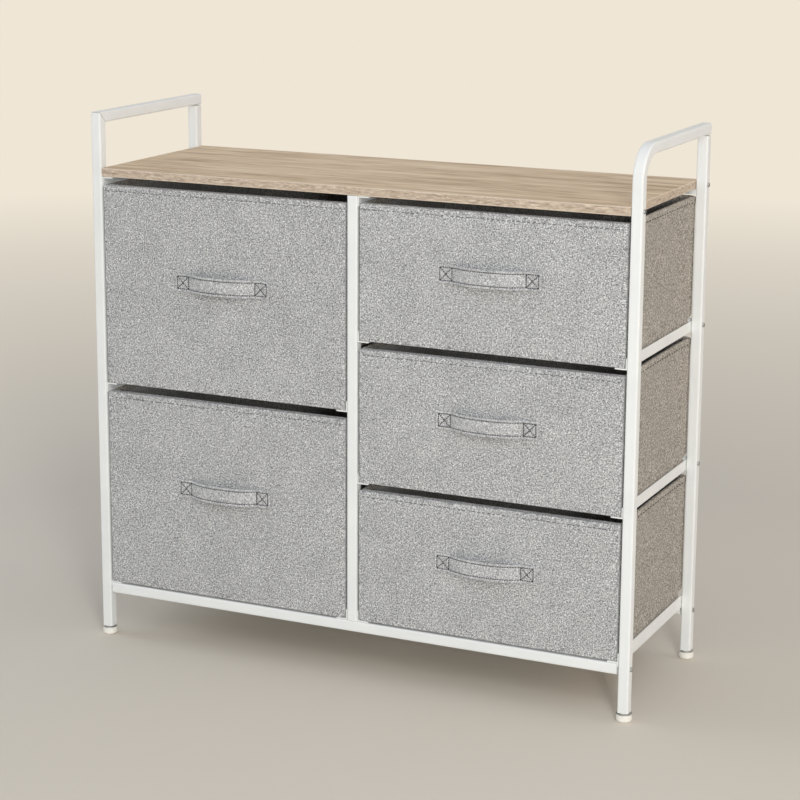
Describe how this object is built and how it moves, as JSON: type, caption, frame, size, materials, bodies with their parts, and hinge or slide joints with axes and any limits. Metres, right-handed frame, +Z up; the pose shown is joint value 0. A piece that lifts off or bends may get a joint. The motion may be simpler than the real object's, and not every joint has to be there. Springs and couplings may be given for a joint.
{
  "type": "chest of drawers",
  "caption": "Free-standing dresser with a white square-tube frame, arched ends, a wood-look top board and sliding open-topped fabric drawers with strap handles.",
  "frame": {"origin": "on the floor, under the centre of the bounding box", "axes": "+X to the viewer's right along the width, +Y from the drawer fronts to the back, +Z up"},
  "size_m": [0.806, 0.2958, 0.754],
  "materials": {
    "white_powder_coat": "white powder coat, satin",
    "wood_laminate": "greige oak-look laminate, satin",
    "drawer_fabric": "heather grey non-woven backed linen-look fabric",
    "strap_webbing": "folded strap of the drawer fabric, edge-stitched",
    "base_card": "thin hardboard stiffener",
    "foot_plastic": "white moulded plastic",
    "zinc_steel": "zinc-plated"
  },
  "bodies": {
    "frame": {"left_front_post": "white_powder_coat", "left_rear_post": "white_powder_coat", "right_front_post_and_arch": "white_powder_coat", "right_rear_post": "white_powder_coat", "left_arch_bar": "white_powder_coat", "middle_front_post": "white_powder_coat", "middle_rear_post": "white_powder_coat", "front_bottom_rail": "white_powder_coat", "rear_bottom_rail": "white_powder_coat", "left_back_rail": "white_powder_coat", "right_lower_back_rail": "white_powder_coat", "right_upper_back_rail": "white_powder_coat", "left_board_runner": "white_powder_coat", "left_end_upper_runner": "white_powder_coat", "left_end_lower_runner": "white_powder_coat", "middle_left_upper_runner": "white_powder_coat", "middle_left_lower_runner": "white_powder_coat", "middle_right_lower_runner": "white_powder_coat", "right_end_lower_runner": "white_powder_coat", "middle_right_middle_runner": "white_powder_coat", "right_end_middle_runner": "white_powder_coat", "middle_right_upper_runner": "white_powder_coat", "right_end_upper_runner": "white_powder_coat", "rear_board_rail": "white_powder_coat", "top_board": "wood_laminate", "left_front_foot": "foot_plastic", "left_rear_foot": "foot_plastic", "right_front_foot": "foot_plastic", "right_rear_foot": "foot_plastic", "left_front_board_screw": "zinc_steel", "left_rear_board_screw": "zinc_steel", "left_front_rail_screw": "zinc_steel", "left_rear_rail_screw": "zinc_steel", "right_front_board_screw": "zinc_steel", "right_rear_board_screw": "zinc_steel", "right_front_rail_screw": "zinc_steel", "right_rear_rail_screw": "zinc_steel", "left_back_rail_screw": "zinc_steel", "right_lower_back_rail_screw": "zinc_steel", "right_upper_back_rail_screw": "zinc_steel"},
    "upper_left_drawer": {"upper_left_drawer_front": "drawer_fabric", "upper_left_drawer_bin": "drawer_fabric", "upper_left_drawer_base": "base_card", "upper_left_drawer_strap": "strap_webbing"},
    "lower_left_drawer": {"lower_left_drawer_front": "drawer_fabric", "lower_left_drawer_bin": "drawer_fabric", "lower_left_drawer_base": "base_card", "lower_left_drawer_strap": "strap_webbing"},
    "upper_right_drawer": {"upper_right_drawer_front": "drawer_fabric", "upper_right_drawer_bin": "drawer_fabric", "upper_right_drawer_base": "base_card", "upper_right_drawer_strap": "strap_webbing"},
    "middle_right_drawer": {"middle_right_drawer_front": "drawer_fabric", "middle_right_drawer_bin": "drawer_fabric", "middle_right_drawer_base": "base_card", "middle_right_drawer_strap": "strap_webbing"},
    "lower_right_drawer": {"lower_right_drawer_front": "drawer_fabric", "lower_right_drawer_bin": "drawer_fabric", "lower_right_drawer_base": "base_card", "lower_right_drawer_strap": "strap_webbing"}
  },
  "joints": [
    {"name": "upper_left_drawer_slide", "type": "slide", "parent": "frame", "child": "upper_left_drawer", "axis": [0, -1, 0], "range_m": [0, 0.2]},
    {"name": "lower_left_drawer_slide", "type": "slide", "parent": "frame", "child": "lower_left_drawer", "axis": [0, -1, 0], "range_m": [0, 0.2]},
    {"name": "upper_right_drawer_slide", "type": "slide", "parent": "frame", "child": "upper_right_drawer", "axis": [0, -1, 0], "range_m": [0, 0.2]},
    {"name": "middle_right_drawer_slide", "type": "slide", "parent": "frame", "child": "middle_right_drawer", "axis": [0, -1, 0], "range_m": [0, 0.2]},
    {"name": "lower_right_drawer_slide", "type": "slide", "parent": "frame", "child": "lower_right_drawer", "axis": [0, -1, 0], "range_m": [0, 0.2]}
  ]
}
